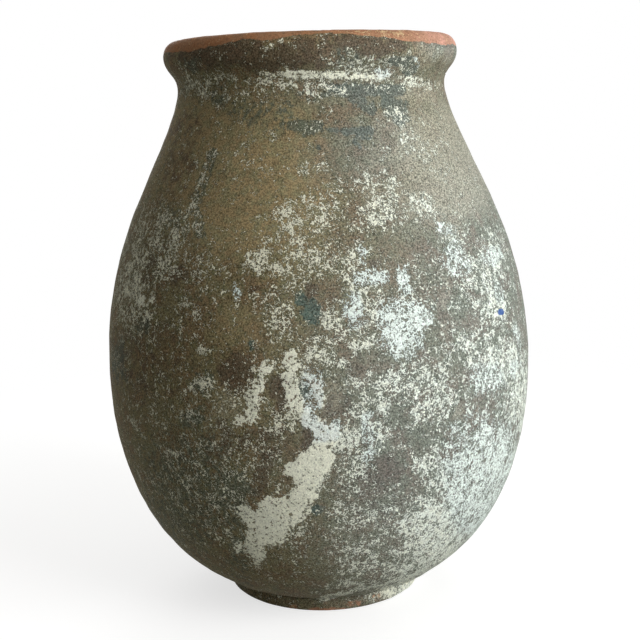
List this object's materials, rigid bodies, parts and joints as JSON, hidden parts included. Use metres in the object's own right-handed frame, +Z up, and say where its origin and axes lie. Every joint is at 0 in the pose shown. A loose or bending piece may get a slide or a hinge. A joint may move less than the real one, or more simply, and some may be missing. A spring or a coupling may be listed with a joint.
{
  "type": "olive jar",
  "caption": "Tall egg-shaped earthenware storage jar with a low foot, a short waisted neck, a wide mouth and a heavy rolled rim, glazed inside to hold olives or oil.",
  "frame": {"origin": "centre of the underside of the foot", "axes": "+Z up along the axis of the jar, out of its mouth; the jar is round, so +X and +Y are free"},
  "size_m": [0.5358, 0.5358, 0.7],
  "materials": {
    "aged_earthenware": "matt fired clay under flaking paint and lime",
    "honey_glaze": "worn gloss"
  },
  "bodies": {
    "root": {"base_slab": "aged_earthenware", "lower_wall": "aged_earthenware", "upper_wall": "aged_earthenware", "rim_collar": "aged_earthenware", "glaze_lining": "honey_glaze"}
  },
  "joints": []
}
